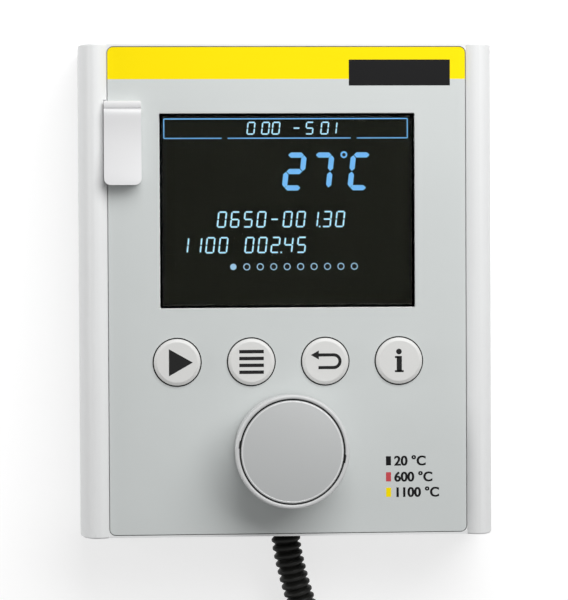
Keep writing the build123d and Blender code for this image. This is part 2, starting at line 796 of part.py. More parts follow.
def usb_cover():
    """Wedge-shaped flap, thicker at the free end, with the middle knuckle."""
    far_y = cover_top_y - cover_l
    near_y = hinge_y - knuckle_r - knuckle_gap
    z0 = face_z + cover_foot_gap
    near_z = face_z + cover_near_h
    far_z = face_z + cover_far_h
    side = Polyline((near_y, z0), (near_y, near_z), (far_y, far_z), (far_y, z0), (near_y, z0))
    section = make_face(side)
    section = fillet(section.vertices().group_by(Axis.Y)[-1], 2 * cover_edge)
    near_top = section.vertices().group_by(Axis.X)[-1].sort_by(Axis.Y)[-1]
    section = fillet(near_top, cover_edge / 2)
    flap = Pos(cover_x, 0, 0) * along_x(section, cover_w)
    plan = Rectangle(cover_w, near_y - far_y)
    plan = fillet(plan.vertices().group_by(Axis.Y)[0], cover_corner)
    flap &= Pos(cover_x, (near_y + far_y) / 2, face_z) * extrude(plan, cover_far_h + 1)
    middle_w = cover_w - 2 * knuckle_w - 2 * knuckle_gap
    web_l = hinge_y - near_y + cover_edge
    web_top = hinge_z + knuckle_r / 2
    web = slab(middle_w, web_l, hinge_z - knuckle_r, web_top, cover_x, hinge_y - web_l / 2)
    flap += web + hinge_rod(knuckle_r, middle_w)
    return flap - hinge_rod(pin_r + pin_clearance, cover_w + 2)


# ---- Conduit ----
def tube_radii(points):
    """The largest arc that each corner's two runs leave room for."""
    radii = []
    for a, b, c in zip(points, points[1:], points[2:]):
        before = Vector(*b) - Vector(*a)
        after = Vector(*c) - Vector(*b)
        turn = radians(before.get_angle(after))
        radii.append(0.45 * min(before.length, after.length) / tan(turn / 2))
    return radii


def tube(name, points, r):
    """A round tube along straight runs joined by tangent arcs."""
    radii = tube_radii(points)
    path = FilletPolyline(*points, radius=radii)
    start = Plane(origin=path @ 0, z_dir=path % 0)
    solid = sweep(start * Circle(r), path=path)
    print(f"{name}: length {path.length:.1f}, smallest radius {min(radii):.0f},",
          f"volume over section times length {solid.volume / (pi * r * r * path.length):.4f}")
    return solid


# The conduit's route, with places along Y counted from the end of the housing: out of the end, off to
# the right, down to the surface, and into the coil.
layer_z = [conduit_r + i * coil_pitch for i in range(coil_layers + 1)]
lead_from_end = (
    (0.0, conduit_start_in, parting_z),
    (0.0, -1.5, parting_z),
    (2.6, -14.5, 12.0),
    (7.2, -29.5, 9.8),
    (13.4, -45.5, 7.4),
    (19.0, -61.5, 5.6),
    (22.4, -77.5, layer_z[0]),
    (coil_x + coil_r, -coil_out, layer_z[0]),
)
# Its far end leaves the top of the coil, which turns clockwise, and comes down beside it.
# These places are counted from the coil's middle.
tail_from_coil = (
    (0.0, -coil_r, layer_z[2]),
    (-15.0, -53.2, layer_z[2] + 0.2),
    (-30.0, -50.9, layer_z[2] - 0.3),
    (-43.8, -45.1, layer_z[2] - 2.6),
    (-55.7, -36.0, 18.8),
    (-64.9, -24.2, 13.8),
    (-71.2, -10.6, 9.8),
    (-74.6, 3.6, sleeve_r),
    (-75.6, 17.4, sleeve_r),
)
lead_in = tuple((x, y - end_y, z) for x, y, z in lead_from_end)
tail = tuple((coil_x + x, coil_y + y, z) for x, y, z in tail_from_coil)


def coil_section(first, last):
    """Outline round the turns that lie one on the other, from layer to layer."""
    h = 2 * conduit_r + (last - first) * coil_pitch
    outline = Pos(coil_r, (layer_z[first] + layer_z[last]) / 2) * Rectangle(2 * conduit_r, h)
    return chamfer(outline.vertices(), coil_corner)


def conduit_coil():
    """The outer shape of the coiled stretch: full turns, and the part turn on top of them."""
    ring = revolve(Plane.XZ * coil_section(0, coil_layers - 1), Axis.Z)
    top = revolve(Plane.XZ * coil_section(coil_layers - 1, coil_layers), Axis.Z, coil_top_to - coil_top_from)
    return Pos(coil_x, coil_y, 0) * (ring + Rot(0, 0, coil_top_from) * top)


def conduit_collar():
    """Ring on the conduit's end that sits between the clamp ribs."""
    ring = Cylinder(collar_r, collar_l) - Cylinder(conduit_r, collar_l + 1)
    return Pos(0, collar_y, parting_z) * Rot(90, 0, 0) * ring


def board_socket():
    """Pin header for the lead, under the board."""
    z0 = board_bottom - board_socket_h
    return slab(board_socket_w, board_socket_l, z0, board_bottom, 0, board_socket_y)


def lead_plug():
    y = board_socket_y - (board_socket_l + lead_plug_l) / 2
    z0 = board_bottom - board_socket_h + lead_plug_in
    return slab(lead_plug_w, lead_plug_l, z0, board_bottom - lead_plug_in, 0, y)


def control_lead():
    """The cable inside the conduit, from its end to the plug under the board."""
    plug_y = board_socket_y - board_socket_l / 2 - lead_plug_l
    plug_z = board_bottom - board_socket_h / 2
    run = (plug_y - conduit_start_y) / 3
    route = (
        (0.0, conduit_start_y, parting_z),
        (0.0, conduit_start_y + run, parting_z),
        (0.0, plug_y - run, plug_z),
        (0.0, plug_y, plug_z),
    )
    return tube("control_lead", route, lead_r)


def connector_frame():
    """Plane at the end of the tail, facing on along it."""
    end = Vector(*tail[-1])
    heading = end - Vector(*tail[-2])
    level = Vector(heading.X, heading.Y, 0).normalized()
    return Plane(origin=end, z_dir=level, x_dir=Vector(0, 0, 1))


def connector_backshell():
    """Tapered clamp that grips the conduit."""
    outline = Polyline((0, 0), (backshell_r, 0), (backshell_r, backshell_taper_from),
                       (backshell_end_r, backshell_l), (0, backshell_l), (0, 0))
    shell = revolve(Plane.XZ * make_face(outline), Axis.Z)
    return connector_frame() * shell


def connector_sleeve():
    """Coupling sleeve with grip grooves round it."""
    sleeve = extrude(Circle(sleeve_r) - Circle(sleeve_r - sleeve_wall), sleeve_l)
    groove = Cylinder(sleeve_r + 1, grip_w) - Cylinder(sleeve_r - grip_depth, grip_w + 1)
    for i in range(grip_count):
        sleeve -= Pos(0, 0, grip_first + grip_pitch * i) * groove
    return connector_frame() * Pos(0, 0, backshell_l) * sleeve


def connector_insert():
    """Insulator with its contact holes."""
    disc = extrude(Circle(sleeve_r - sleeve_wall), sleeve_l - insert_face_set)
    hole = rod(pin_hole_r, sleeve_l - pin_hole_depth, sleeve_l + 1, pin_circle_r)
    holes = [Rot(0, 0, i * 360 / pin_count) * hole for i in range(pin_count)]
    return connector_frame() * Pos(0, 0, backshell_l) * (disc - holes)


# ---- Build and write ----
def group(solids):
    """Loose solids of one node."""
    return Compound(children=list(solids))


def nodes():
    made = {
        "front_shell": front_shell(),
        "rear_cover": rear_cover(),
        "housing_screws": group(housing_screws()),
        "mount_inserts": group(mount_inserts()),
        "front_panel": front_panel(),
        "header_band": header_band(),
        "display_lens": display_lens(),
        "lcd_glass": lcd_glass(),
        "lcd_backlight": lcd_backlight(),
        "lcd_tray": lcd_tray(),
        "control_board": control_board(),
        "board_screws": group(board_screws()),
        "board_chips": group(board_chips()),
        "cell_holder": cell_holder(),
        "coin_cell": coin_cell(),
        "tact_switches": group(tact_switches()),
        "encoder_body": encoder_body(),
        "encoder_washer": encoder_washer(),
        "encoder_nut": encoder_nut(),
        "encoder_plunger": encoder_plunger(),
        "encoder_rotor": encoder_rotor(),
        "encoder_shaft": encoder_shaft(),
        "knob_body": knob_body(),
        "knob_cap": knob_cap(),
        "usb_socket_shell": usb_socket_shell(),
        "usb_socket_insert": usb_socket_insert(),
        "usb_seal": usb_seal(),
        "usb_board": usb_board(),
        "usb_board_screws": group(usb_board_screws()),
        "usb_cover_base": usb_cover_base(),
        "usb_hinge_pin": usb_hinge_pin(),
        "usb_cover": usb_cover(),
        "conduit_collar": conduit_collar(),
        "board_socket": board_socket(),
        "lead_plug": lead_plug(),
        "control_lead": control_lead(),
        "conduit": tube("conduit", lead_in, conduit_r),
        "conduit_coil": conduit_coil(),
        "conduit_tail": tube("conduit_tail", tail, conduit_r),
        "connector_backshell": connector_backshell(),
        "connector_sleeve": connector_sleeve(),
        "connector_insert": connector_insert(),
    }
    for name, x in zip(key_names, key_xs()):
        made[f"{name}_key"] = key_cap(x)
        made[f"{name}_key_plunger"] = key_plunger(x)
    return made


os.makedirs("parts", exist_ok=True)
for node, shape in nodes().items():
    export_step(shape, f"parts/{node}.step")
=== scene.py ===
from math import atan2, cos, pi, radians, sin, tan

import bmesh
import bpy
from mathutils import Matrix, Vector


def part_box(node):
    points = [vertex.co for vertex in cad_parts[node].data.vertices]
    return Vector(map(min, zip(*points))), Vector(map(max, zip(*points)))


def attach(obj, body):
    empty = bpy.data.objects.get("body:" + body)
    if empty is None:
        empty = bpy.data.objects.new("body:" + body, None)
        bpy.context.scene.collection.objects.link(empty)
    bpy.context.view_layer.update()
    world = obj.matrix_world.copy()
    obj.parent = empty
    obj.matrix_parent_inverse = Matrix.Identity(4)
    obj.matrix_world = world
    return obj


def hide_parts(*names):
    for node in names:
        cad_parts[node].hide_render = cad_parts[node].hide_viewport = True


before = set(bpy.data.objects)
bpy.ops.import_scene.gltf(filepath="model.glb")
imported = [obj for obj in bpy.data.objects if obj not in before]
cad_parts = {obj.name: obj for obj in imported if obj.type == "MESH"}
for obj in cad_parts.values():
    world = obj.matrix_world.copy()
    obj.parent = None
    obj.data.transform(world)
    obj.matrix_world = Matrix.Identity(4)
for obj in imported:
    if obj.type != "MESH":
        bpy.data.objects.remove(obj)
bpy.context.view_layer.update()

# The controller of a muffle furnace, lying on its back. Sizes and places are in metres.
MM = 0.001


# ---- Places that the frame gives ----
def middle(node):
    low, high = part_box(node)
    return Vector([(a + b) / 2 for a, b in zip(low, high)])


def top_of(node):
    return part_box(node)[1][2]


FACE_Z = top_of("front_panel")
KEY_NAMES = ("start", "menu", "back", "info")
KEY_TOP = top_of("start_key")
LCD_TOP = top_of("lcd_glass")
FILM = 0.02 * MM  # thickness of a printed mark
SAME_PLACE = 0.0002 * MM  # points nearer than this are one


# ---- Colour ----
def rgb(red, green, blue):
    """A screen colour, 0 to 255, as linear values."""
    def linear(value):
        value /= 255
        return value / 12.92 if value <= 0.04045 else ((value + 0.055) / 1.055) ** 2.4
    return (linear(red), linear(green), linear(blue), 1.0)


# ---- Shader groups ----
PALE_GREY = (0.8, 0.8, 0.8, 1.0)
MIDDLE_GREY = (0.6, 0.6, 0.6, 1.0)


def new_finish_group(name, tints, numbers):
    """A shader group with these inputs and values, which gives out a colour, a gloss and a relief."""
    group = bpy.data.node_groups.new(name, "ShaderNodeTree")
    for kind, values in (("NodeSocketColor", tints), ("NodeSocketFloat", numbers)):
        for label, value in values.items():
            socket = group.interface.new_socket(label, in_out="INPUT", socket_type=kind)
            socket.default_value = value
    group.interface.new_socket("Colour", in_out="OUTPUT", socket_type="NodeSocketColor")
    for label in ("Roughness", "Height"):
        group.interface.new_socket(label, in_out="OUTPUT", socket_type="NodeSocketFloat")
    return group, group.nodes.new("NodeGroupInput"), group.nodes.new("NodeGroupOutput")


def object_place(tree):
    return tree.nodes.new("ShaderNodeTexCoord").outputs["Object"]


def noise(tree, coordinates, scale, detail=2.0, roughness=0.5):
    node = tree.nodes.new("ShaderNodeTexNoise")
    node.inputs["Detail"].default_value = detail
    node.inputs["Roughness"].default_value = roughness
    tree.links.new(coordinates, node.inputs["Vector"])
    if isinstance(scale, float):
        node.inputs["Scale"].default_value = scale
    else:
        tree.links.new(scale, node.inputs["Scale"])
    return node.outputs["Fac"]


def math_node(tree, operation, first, second, clamp=False):
    node = tree.nodes.new("ShaderNodeMath")
    node.operation = operation
    node.use_clamp = clamp
    for socket, value in zip(node.inputs, (first, second)):
        if isinstance(value, (int, float)):
            socket.default_value = value
        else:
            tree.links.new(value, socket)
    return node.outputs[0]


def mix_colour(tree, factor, first, second):
    node = tree.nodes.new("ShaderNodeMix")
    node.data_type = "RGBA"
    sockets = (node.inputs["Factor"], node.inputs["A"], node.inputs["B"])
    for socket, value in zip(sockets, (factor, first, second)):
        if isinstance(value, (int, float, tuple)):
            socket.default_value = value
        else:
            tree.links.new(value, socket)
    return node.outputs["Result"]


def mix_tints(group, given, out, blend):
    """Sends the light tint where the blend is 1, and the dark tint where it is 0, to the colour output."""
    colour = mix_colour(group, blend, given.outputs["Dark Tint"], given.outputs["Light Tint"])
    group.links.new(colour, out.inputs["Colour"])


CLOUD_SCALE = 22.0
CLOUD_SHARE = 0.8
GRAIN_SHARE = 0.35


def make_moulded_grain():
    """Spark-eroded mould texture: fine grain, with faint broad clouds in tint and gloss."""
    group, given, out = new_finish_group(
        "moulded grain", {"Light Tint": PALE_GREY, "Dark Tint": MIDDLE_GREY},
        {"Grain Scale": 2500.0, "Low Gloss": 0.45, "High Gloss": 0.55})
    place = object_place(group)
    clouds = noise(group, place, CLOUD_SCALE, 4.0, 0.55)
    grain = noise(group, place, given.outputs["Grain Scale"], 3.0, 0.6)
    specks = math_node(group, "MULTIPLY", grain, GRAIN_SHARE)
    blend = math_node(group, "ADD", math_node(group, "MULTIPLY", clouds, CLOUD_SHARE), specks, clamp=True)
    mix_tints(group, given, out, blend)
    spread = math_node(group, "SUBTRACT", given.outputs["High Gloss"], given.outputs["Low Gloss"])
    gloss = math_node(group, "ADD", math_node(group, "MULTIPLY", spread, blend), given.outputs["Low Gloss"])
    group.links.new(gloss, out.inputs["Roughness"])
    group.links.new(grain, out.inputs["Height"])
    return group


MARK_STRETCH = (0.08, 0.08, 1.0)  # the marks run long across the piece's own Z
METAL_CLOUD_SCALE = 160.0
METAL_GLOSS = 0.24
METAL_GLOSS_SPREAD = 0.2


def make_turned_metal():
    """Fine lathe marks round one axis, over slightly uneven metal."""
    group, given, out = new_finish_group(
        "turned metal", {"Light Tint": PALE_GREY, "Dark Tint": MIDDLE_GREY}, {"Mark Scale": 900.0})
    place = object_place(group)
    stretch = group.nodes.new("ShaderNodeMapping")
    stretch.inputs["Scale"].default_value = MARK_STRETCH
    group.links.new(place, stretch.inputs["Vector"])
    marks = noise(group, stretch.outputs["Vector"], given.outputs["Mark Scale"], 2.0)
    clouds = noise(group, place, METAL_CLOUD_SCALE, 3.0)
    blend = math_node(group, "MULTIPLY", math_node(group, "ADD", marks, clouds), 0.5, clamp=True)
    mix_tints(group, given, out, blend)
    gloss = math_node(group, "ADD", math_node(group, "MULTIPLY", blend, METAL_GLOSS_SPREAD), METAL_GLOSS)
    group.links.new(gloss, out.inputs["Roughness"])
    group.links.new(marks, out.inputs["Height"])
    return group


MOULDED_GRAIN = make_moulded_grain()
TURNED_METAL = make_turned_metal()


# ---- Materials ----
def new_material(name):
    material = bpy.data.materials.new(name)
    material.use_nodes = True
    tree = material.node_tree
    return material, tree, tree.nodes["Principled BSDF"]


RELIEF = 0.02 * MM


def add_effect(tree, shader, group, values, bump):
    """Places an effect group in a material and links it to the shader."""
    node = tree.nodes.new("ShaderNodeGroup")
    node.node_tree = group
    for label, value in values.items():
        node.inputs[label].default_value = value
    tree.links.new(node.outputs["Colour"], shader.inputs["Base Color"])
    tree.links.new(node.outputs["Roughness"], shader.inputs["Roughness"])
    relief = tree.nodes.new("ShaderNodeBump")
    relief.inputs["Strength"].default_value = bump
    relief.inputs["Distance"].default_value = RELIEF
    tree.links.new(node.outputs["Height"], relief.inputs["Height"])
    tree.links.new(relief.outputs["Normal"], shader.inputs["Normal"])


def moulded(name, light, dark, grain=2500.0, gloss=(0.42, 0.55), bump=0.25, specular=0.5):
    material, tree, shader = new_material(name)
    values = {"Light Tint": light, "Dark Tint": dark, "Grain Scale": grain}
    values["Low Gloss"], values["High Gloss"] = gloss
    add_effect(tree, shader, MOULDED_GRAIN, values, bump)
    shader.inputs["Specular IOR Level"].default_value = specular
    return material


def ink(name, light, dark, specular):
    return moulded(name, light, dark, grain=4200.0, gloss=(0.4, 0.5), bump=0.1, specular=specular)


DULL = 0.02  # how much the dark of the display shines


def display_dark(name, light, dark):
    return moulded(name, light, dark, grain=900.0, gloss=(0.4, 0.5), bump=0.0, specular=DULL)


def metal(name, light, dark, marks=900.0, bump=0.2):
    material, tree, shader = new_material(name)
    values = {"Light Tint": light, "Dark Tint": dark, "Mark Scale": marks}
    add_effect(tree, shader, TURNED_METAL, values, bump)
    shader.inputs["Metallic"].default_value = 1.0
    return material


UNLIT = (0.02, 0.02, 0.02, 1.0)
GLOW_CLOUD_SCALE = 260.0


def lit(name, light, dark):
    """A display mark that glows evenly, with a slight fall-off in its colour from place to place."""
    material, tree, shader = new_material(name)
    colour = mix_colour(tree, noise(tree, object_place(tree), GLOW_CLOUD_SCALE), dark, light)
    tree.links.new(colour, shader.inputs["Emission Color"])
    shader.inputs["Base Color"].default_value = UNLIT
    shader.inputs["Roughness"].default_value = 0.5
    shader.inputs["Specular IOR Level"].default_value = DULL
    shader.inputs["Emission Strength"].default_value = 1.0
    return material


SMEAR_SCALE = 60.0
SMEAR = 0.012  # roughness where the window is most smeared
WINDOW_IOR = 1.03


def clear_window(name):
    """The display's window: a thin clear sheet with an anti-glare coat."""
    material, tree, shader = new_material(name)
    smear = noise(tree, object_place(tree), SMEAR_SCALE, 3.0)
    tree.links.new(math_node(tree, "MULTIPLY", smear, SMEAR), shader.inputs["Roughness"])
    shader.inputs["Base Color"].default_value = (1.0, 1.0, 1.0, 1.0)
    shader.inputs["Transmission Weight"].default_value = 1.0
    shader.inputs["IOR"].default_value = WINDOW_IOR
    return material


TRACK_SCALE = 190.0
TRACK_WIDTH = 0.05  # as a share of the space between tracks
LACQUER_CLOUD_SCALE = 300.0
LACQUER_GLOSS = 0.22
LACQUER_GLOSS_SPREAD = 0.15


def solder_mask(name, lacquer, over_copper):
    """Board lacquer with copper tracks showing through as a paler green."""
    material, tree, shader = new_material(name)
    place = object_place(tree)
    cells = tree.nodes.new("ShaderNodeTexVoronoi")
    cells.feature = "DISTANCE_TO_EDGE"
    cells.inputs["Scale"].default_value = TRACK_SCALE
    tree.links.new(place, cells.inputs["Vector"])
    tracks = math_node(tree, "LESS_THAN", cells.outputs["Distance"], TRACK_WIDTH)
    tree.links.new(mix_colour(tree, tracks, lacquer, over_copper), shader.inputs["Base Color"])
    clouds = math_node(tree, "MULTIPLY", noise(tree, place, LACQUER_CLOUD_SCALE), LACQUER_GLOSS_SPREAD)
    tree.links.new(math_node(tree, "ADD", clouds, LACQUER_GLOSS), shader.inputs["Roughness"])
    return material


RAIL = moulded("rail plastic", rgb(233, 234, 234), rgb(224, 225, 225), gloss=(0.4, 0.52))
REAR = moulded("rear cover plastic", rgb(206, 207, 207), rgb(194, 195, 195), gloss=(0.5, 0.62), bump=0.4)
PANEL = moulded("panel foil", rgb(209, 213, 212), rgb(199, 203, 202),
                grain=4200.0, gloss=(0.36, 0.46), bump=0.12, specular=0.3)
YELLOW = ink("header ink", rgb(255, 230, 0), rgb(252, 224, 0), 0.08)
BLACK_INK = ink("black ink", rgb(19, 19, 20), rgb(14, 14, 15), 0.1)
SIGN_INK = ink("key sign ink", rgb(36, 36, 36), rgb(28, 28, 28), 0.1)
RED_INK = ink("red ink", rgb(202, 78, 84), rgb(194, 68, 76), 0.2)
KEY = moulded("key plastic", rgb(221, 221, 219), rgb(212, 212, 210),
              grain=3200.0, gloss=(0.34, 0.44), bump=0.1)
KNOB = moulded("knob plastic", rgb(208, 209, 209), rgb(198, 199, 199),
               grain=2600.0, gloss=(0.24, 0.32), bump=0.15)
KNOB_CAP = moulded("knob cap plastic", rgb(184, 186, 186), rgb(174, 176, 176),
                   grain=2600.0, gloss=(0.38, 0.46), bump=0.15, specular=1.0)
# Glossier and much paler than the cap: the gloss is real, the paleness is a painted highlight along the cap's
# edge.
CAP_EDGE_HIGHLIGHT = moulded("cap edge painted highlight", rgb(222, 223, 223), rgb(214, 215, 215),
                          grain=2600.0, gloss=(0.18, 0.24), bump=0.05, specular=1.0)
COVER = moulded("port cover plastic", rgb(225, 225, 226), rgb(217, 217, 218),
                grain=3000.0, gloss=(0.3, 0.4), bump=0.1)
# Dark ring down in the narrow gap between the knob and its cap: painted shade.
CAP_GAP_SHADE = moulded("cap gap painted shade", rgb(40, 40, 40), rgb(30, 30, 30),
                grain=3000.0, gloss=(0.7, 0.8), specular=0.1)
# Dark rings down in the gap round each key: painted shade for the deep, narrow gap.
KEY_GAP_SHADE = moulded("key gap painted shade", rgb(42, 42, 42), rgb(32, 32, 32),
               grain=3000.0, gloss=(0.6, 0.75), specular=0.2)
CONDUIT = moulded("conduit polyamide", rgb(23, 23, 21), rgb(17, 17, 15),
                  grain=1800.0, gloss=(0.36, 0.5), bump=0.3, specular=0.18)
INNER_PALE = moulded("inner pale plastic", rgb(226, 223, 214), rgb(214, 211, 202))
INNER_BLACK = moulded("inner black plastic", rgb(40, 40, 41), rgb(30, 30, 31), gloss=(0.5, 0.65))
LCD_DARK = display_dark("dark display", rgb(20, 21, 16), rgb(17, 18, 13))
BORDER = display_dark("window border", rgb(18, 18, 18), rgb(16, 16, 16))
BACKLIGHT = moulded("diffuser", rgb(228, 232, 238), rgb(218, 222, 228))
LEAD = moulded("lead jacket", rgb(64, 65, 66), rgb(52, 53, 54), gloss=(0.45, 0.55))
SEAL = moulded("foam seal", rgb(40, 40, 40), rgb(26, 26, 26), grain=1400.0, gloss=(0.8, 0.9), bump=0.8)
STEEL = metal("plated steel", rgb(214, 214, 212), rgb(184, 184, 183))
BRASS = metal("turned brass", rgb(212, 182, 112), rgb(186, 152, 84))
NICKEL = metal("satin nickel", rgb(182, 184, 186), rgb(150, 152, 155), marks=1400.0)
BOARD = solder_mask("board lacquer", rgb(22, 84, 52), rgb(44, 116, 74))
WINDOW = clear_window("display window")
GLOW = lit("large figure glow", rgb(114, 188, 244), rgb(102, 176, 236))
PALE_GLOW = lit("small figure glow", rgb(186, 236, 255), rgb(172, 224, 248))
DOT_GLOW = lit("dot glow", rgb(160, 202, 230), rgb(148, 190, 220))

NODE_MATERIALS = {
    "front_shell": RAIL, "rear_cover": REAR, "housing_screws": STEEL, "mount_inserts": BRASS,
    "front_panel": PANEL, "header_band": YELLOW,
    "display_lens": WINDOW, "lcd_glass": LCD_DARK, "lcd_backlight": BACKLIGHT, "lcd_tray": INNER_PALE,
    "control_board": BOARD, "board_screws": STEEL, "board_chips": INNER_BLACK, "cell_holder": INNER_BLACK,
    "coin_cell": STEEL, "tact_switches": INNER_BLACK,
    "board_socket": INNER_PALE, "lead_plug": INNER_PALE, "control_lead": LEAD,
    "encoder_body": NICKEL, "encoder_washer": NICKEL, "encoder_nut": NICKEL, "encoder_plunger": INNER_PALE,
    "encoder_rotor": INNER_BLACK, "encoder_shaft": NICKEL, "knob_body": KNOB, "knob_cap": KNOB_CAP,
    "usb_socket_shell": STEEL, "usb_socket_insert": INNER_PALE, "usb_seal": SEAL, "usb_board": BOARD,
    "usb_board_screws": STEEL, "usb_cover_base": COVER, "usb_hinge_pin": STEEL, "usb_cover": COVER,
    "conduit_collar": CONDUIT, "connector_backshell": NICKEL, "connector_sleeve": NICKEL,
    "connector_insert": INNER_BLACK,
}
for key_name in KEY_NAMES:
    NODE_MATERIALS[f"{key_name}_key"] = KEY
    NODE_MATERIALS[f"{key_name}_key_plunger"] = INNER_PALE


def dress_nodes():
    """Gives each carried-over solid its material."""
    for node, material in NODE_MATERIALS.items():
        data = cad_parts[node].data
        data.materials.clear()
        data.materials.append(material)


# ---- Making pieces ----
def finish_piece(name, bm, material, body):
    """Turns a bmesh into a piece that rides on a body."""
    mesh = bpy.data.meshes.new(name)
    bm.to_mesh(mesh)
    bm.free()
    piece = bpy.data.objects.new(name, mesh)
    bpy.context.scene.collection.objects.link(piece)
    mesh.materials.append(material)
    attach(piece, body)
    return piece


def smooth(piece, angle=40.0):
    piece.data.shade_smooth()
    bpy.context.view_layer.objects.active = piece
    piece.data.set_sharp_from_angle(angle=radians(angle))


def curve_mesh(name, curve):
    """The mesh that a curve or a text makes."""
    helper = bpy.data.objects.new(name, curve)
    bpy.context.scene.collection.objects.link(helper)
    mesh = bpy.data.meshes.new_from_object(helper.evaluated_get(bpy.context.evaluated_depsgraph_get()))
    bpy.data.objects.remove(helper)
    return mesh


def add_bar(bm, x0, y0, x1, y1, width, z):
    """A thin straight printed bar from one point to another."""
    run = Vector((x1 - x0, y1 - y0))
    turn = Matrix.Rotation(atan2(run.y, run.x), 4, "Z")
    size = Matrix.Diagonal((run.length, width, FILM, 1.0))
    place = Matrix.Translation(((x0 + x1) / 2, (y0 + y1) / 2, z + FILM / 2))
    bmesh.ops.create_cube(bm, size=1.0, matrix=place @ turn @ size)


def add_disc(bm, x, y, radius, z):
    place = Matrix.Translation((x, y, z + FILM / 2))
    bmesh.ops.create_cone(bm, cap_ends=True, segments=32, radius1=radius, radius2=radius, depth=FILM,
                          matrix=place)


# The length and the base of a triangle whose corners lie on a circle of radius 1.
UNIT_LENGTH = 1.5
UNIT_BASE = 2 * sin(pi / 3)


def add_triangle(bm, x, y, width, height, z, heading):
    """A thin triangle whose point lies along its heading. x and y are where its three medians meet."""
    made = bmesh.ops.create_cone(bm, cap_ends=True, segments=3, radius1=1.0, radius2=1.0, depth=FILM)
    spread = Matrix.Diagonal((width / UNIT_LENGTH, height / UNIT_BASE, 1.0, 1.0))
    turn = Matrix.Rotation(heading - pi / 2, 4, "Z")
    place = Matrix.Translation((x, y, z + FILM / 2))
    bmesh.ops.transform(bm, matrix=place @ spread @ turn, verts=made["verts"])


def add_ring(bm, x, y, outer, inner, z, thickness=FILM, start=0.0, sweep=2 * pi, steps=32):
    """A flat ring or part of one, from a small rectangle spun about its middle."""
    corners = [(inner, 0), (outer, 0), (outer, thickness), (inner, thickness)]
    verts = [bm.verts.new((x + r * cos(start), y + r * sin(start), z + h)) for r, h in corners]
    face = bm.faces.new(verts)
    full = abs(sweep) > 2 * pi - 1e-6
    bmesh.ops.spin(bm, geom=[face, *face.edges, *face.verts], cent=(x, y, z), axis=(0, 0, 1), angle=sweep,
                   steps=steps, use_merge=full, use_duplicate=False)
    if full and face.is_valid:
        bmesh.ops.delete(bm, geom=[face], context="FACES_ONLY")


def spin_round(bm, x, y, steps):
    """Spins an outline once round an upright axis."""
    bmesh.ops.spin(bm, geom=[*bm.verts, *bm.edges], cent=(x, y, 0), axis=(0, 0, 1), angle=2 * pi, steps=steps,
                   use_merge=True, use_duplicate=False)


def added_verts(geometry):
    return [part for part in geometry if isinstance(part, bmesh.types.BMVert)]


def clean(bm):
    bmesh.ops.remove_doubles(bm, verts=bm.verts, dist=SAME_PLACE)
    bmesh.ops.recalc_face_normals(bm, faces=bm.faces)


# ---- Prints on the face ----
BLOCK_X = (20.8 * MM, 54.9 * MM)
BLOCK_Y = (68.6 * MM, 77.3 * MM)
MARK_X = (32.8 * MM, 34.5 * MM)
MARK_TOPS = (-56.0 * MM, -61.4 * MM, -66.6 * MM)
MARK_HEIGHT = 3.1 * MM
MARK_WORD_X = 35.5 * MM
MARK_TEXT_SIZE = 4.5 * MM
BOLDER = 0.16 * MM  # how far apart the two layers of a printed figure lie
SWELL = 0.1 * MM  # how much each stroke of a printed figure is thickened


def printed_block():
    """A plain black field across the header band's lower edge, left bare."""
    bm = bmesh.new()
    y = sum(BLOCK_Y) / 2
    add_bar(bm, BLOCK_X[0], y, BLOCK_X[1], y, BLOCK_Y[1] - BLOCK_Y[0], FACE_Z)
    finish_piece("printed_block", bm, BLACK_INK, "housing")


def heat_marks():
    """Three small colour marks, each with a plain temperature."""
    words = ("20 °C", "600 °C", "1100 °C")
    for top, material, number, word in zip(MARK_TOPS, (BLACK_INK, RED_INK, YELLOW), (1, 2, 3), words):
        bm = bmesh.new()
        y = top - MARK_HEIGHT / 2
        add_bar(bm, MARK_X[0], y, MARK_X[1], y, MARK_HEIGHT, FACE_Z)
        finish_piece(f"heat_mark_{number}", bm, material, "housing")
        print_text(f"heat_number_{number}", word, MARK_WORD_X, top - MARK_HEIGHT, MARK_TEXT_SIZE)


def print_text(name, words, x, y, size):
    """Plain printed figures, as a mesh. They are laid twice, side by side, to make them bold."""
    curve = bpy.data.curves.new(name, "FONT")
    curve.body = words
    curve.size = size
    curve.offset = SWELL
    curve.extrude = FILM / 2
    bm = bmesh.new()
    bm.from_mesh(curve_mesh(name, curve))
    again = bmesh.ops.duplicate(bm, geom=[*bm.verts, *bm.edges, *bm.faces])["geom"]
    bmesh.ops.translate(bm, verts=added_verts(again), vec=(BOLDER, 0, FILM / 5))
    bmesh.ops.translate(bm, verts=bm.verts, vec=(x, y, FACE_Z + FILM / 2))
    finish_piece(name, bm, BLACK_INK, "housing")


# ---- Signs on the keys ----
def key_place(name):
    return middle(f"{name}_key")


def finish_sign(name, bm):
    clean(bm)
    finish_piece(f"{name}_sign", bm, SIGN_INK, f"{name}_key")


def start_sign():
    """Triangle that points right."""
    x, y, _ = key_place("start")
    width, height = 8.0 * MM, 9.1 * MM
    bm = bmesh.new()
    add_triangle(bm, x + 1.2 * MM - width / 6, y - 0.05 * MM, width, height, KEY_TOP, 0.0)
    finish_sign("start", bm)


def menu_sign():
    """Four level bars."""
    x, y, _ = key_place("menu")
    half, pitch, width = 4.12 * MM, 2.3 * MM, 1.15 * MM
    bm = bmesh.new()
    for row in (1.5, 0.5, -0.5, -1.5):
        level = y + row * pitch
        add_bar(bm, x - half, level, x + half, level, width, KEY_TOP)
    finish_sign("menu", bm)


